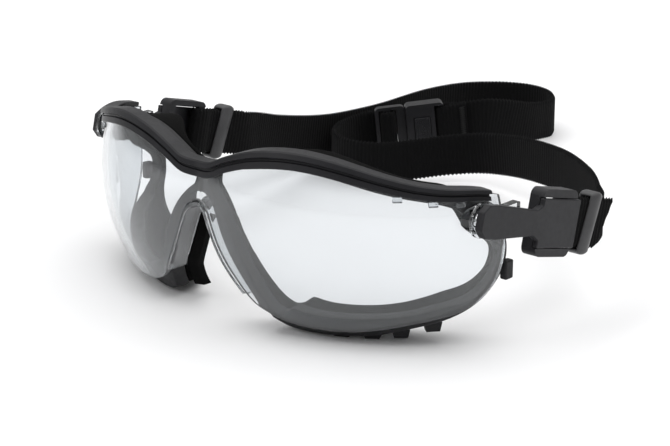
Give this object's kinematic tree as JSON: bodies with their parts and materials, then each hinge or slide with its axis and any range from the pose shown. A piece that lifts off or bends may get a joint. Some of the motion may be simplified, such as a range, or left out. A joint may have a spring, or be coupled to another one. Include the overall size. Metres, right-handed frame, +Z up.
{
  "type": "sports protective goggles",
  "caption": "Wraparound clear goggles with a brow bar, a foam-lined inner carriage and an elastic strap on swivelling clips, closed by a press-release buckle.",
  "frame": {"origin": "the middle of the object's outer box in plan, on the surface that it stands on", "axes": "+X to the wearer's left, +Y from the lens towards the back of the head, +Z up"},
  "size_m": [0.1673, 0.2519, 0.0567],
  "materials": {
    "clear_lens": "polished clear polycarbonate",
    "clear_block": "polished clear polycarbonate",
    "satin_black": "satin moulded",
    "soft_black": "matt moulded elastomer",
    "clip_black": "satin moulded",
    "buckle_black": "satin moulded",
    "keeper_grey": "semi-gloss moulded",
    "foam": "flocked closed-cell foam",
    "webbing": "ribbed woven elastic",
    "thread": "twisted thread"
  },
  "bodies": {
    "front": {"lens": "clear_lens", "nose_flange": "clear_lens", "lens_lugs": "clear_lens", "temple_block_left": "clear_block", "temple_block_right": "clear_block", "brow_bar": "satin_black"},
    "carriage": {"carriage_frame": "soft_black", "nose_piece": "soft_black", "side_hook_left": "soft_black", "side_hook_right": "soft_black", "vent_feet_left": "soft_black", "vent_feet_right": "soft_black", "foam_left": "foam", "foam_right": "foam", "nose_foam_left": "foam", "nose_foam_right": "foam"},
    "strap": {"clip_left": "clip_black", "clip_right": "clip_black", "clip_frame_left": "clip_black", "clip_frame_right": "clip_black", "pivot_pin_left": "clip_black", "pivot_pin_right": "clip_black", "tail_left": "webbing", "tail_right": "webbing", "strap_far": "webbing", "strap_mid": "webbing", "strap_near": "webbing", "buckle_plug": "buckle_black", "plug_wrap": "webbing"},
    "buckle": {"buckle_socket": "buckle_black", "socket_loop": "webbing", "stitch_bar": "thread"},
    "release": {"release_pad": "buckle_black"},
    "keeper_left": {"keeper_left": "keeper_grey"},
    "keeper_right": {"keeper_right": "keeper_grey"}
  },
  "joints": [
    {"name": "carriage_slide", "type": "slide", "parent": "front", "child": "carriage", "axis": [0, 1, 0], "range_m": [0, 0.004]},
    {"name": "clip_swivel", "type": "hinge", "parent": "front", "child": "strap", "pos_m": [0.0037, -0.0904, 0.0395], "axis": [1, 0, 0], "range_deg": [0, 45]},
    {"name": "buckle_slide", "type": "slide", "parent": "strap", "child": "buckle", "axis": [0.6909, 0.7154, 0.1045], "range_m": [0, 0.008], "deforming": ["strap_mid"]},
    {"name": "release_press", "type": "slide", "parent": "buckle", "child": "release", "axis": [-0.7193, 0.6947, 0], "range_m": [0, 0.0008], "stiffness_N_per_m": 300},
    {"name": "keeper_slide_left", "type": "slide", "parent": "strap", "child": "keeper_left", "axis": [0, 0.9703, -0.2419], "range_m": [-0.002, 0.002]},
    {"name": "keeper_slide_right", "type": "slide", "parent": "strap", "child": "keeper_right", "axis": [0, 0.9703, -0.2419], "range_m": [-0.002, 0.002]}
  ]
}
